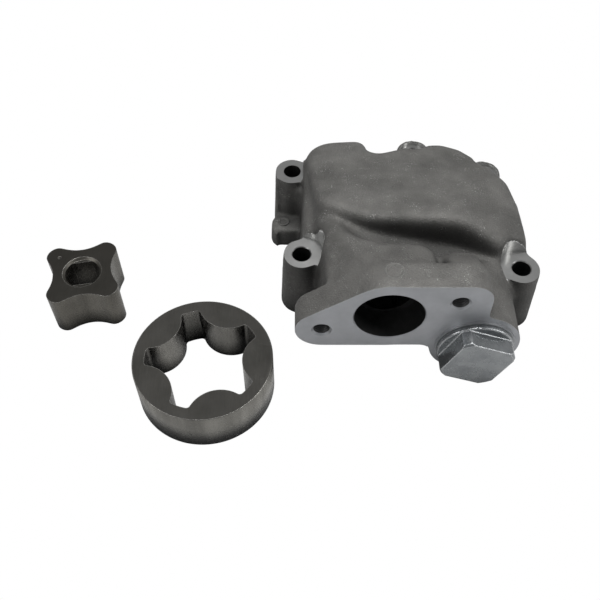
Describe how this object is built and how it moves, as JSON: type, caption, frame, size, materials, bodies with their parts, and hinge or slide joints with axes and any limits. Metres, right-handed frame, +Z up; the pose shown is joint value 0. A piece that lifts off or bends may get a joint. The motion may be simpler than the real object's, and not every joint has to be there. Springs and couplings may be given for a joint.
{
  "type": "gerotor oil pump",
  "caption": "Cast aluminium engine oil pump housing with intake flange and relief valve plug, its lobed outer ring and inner star rotor laid out beside it.",
  "frame": {"origin": "centre of the rotor pocket on the housing's mounting face, which lies on the bench at z = 0", "axes": "+Z up, away from the mounting face along the pump's shaft; -Y is the way the intake flange and the relief valve plug face; +X is to the right seen from the flange"},
  "size_m": [0.2449, 0.1657, 0.0662],
  "materials": {
    "cast_housing": "shot-blasted casting with machined faces",
    "outer_rotor_steel": "ground sintered steel",
    "inner_rotor_steel": "ground sintered steel",
    "bush_bronze": "plain bearing bronze",
    "zinc_plated_plug": "bright zinc plating",
    "washer_aluminium": "plain turned",
    "spring_steel": "plain spring wire",
    "piston_steel": "ground"
  },
  "bodies": {
    "housing": {"pump_housing": "cast_housing", "relief_valve_plug": "zinc_plated_plug", "plug_sealing_washer": "washer_aluminium", "shaft_bush": "bush_bronze", "relief_spring": "spring_steel"},
    "outer_rotor": {"outer_rotor": "outer_rotor_steel"},
    "inner_rotor": {"inner_rotor": "inner_rotor_steel"},
    "relief_piston": {"relief_piston": "piston_steel"}
  },
  "joints": [
    {"name": "outer_rotor_spin", "type": "hinge", "parent": "housing", "child": "outer_rotor", "pos_m": [-0.1029, -0.0796, 0], "axis": [0, 0, 1], "continuous": true},
    {"name": "inner_rotor_spin", "type": "hinge", "parent": "housing", "child": "inner_rotor", "pos_m": [-0.1665, -0.029, 0], "axis": [0, 0, 1], "continuous": true},
    {"name": "relief_piston_slide", "type": "slide", "parent": "housing", "child": "relief_piston", "axis": [0, -1, 0], "range_m": [0, 0.0075], "stiffness_N_per_m": 9000, "springref_m": -0.004, "deforming": ["relief_spring"]}
  ],
  "couplings": [
    {"joint": "inner_rotor_spin", "follows": "outer_rotor_spin", "ratio": 1.25}
  ]
}
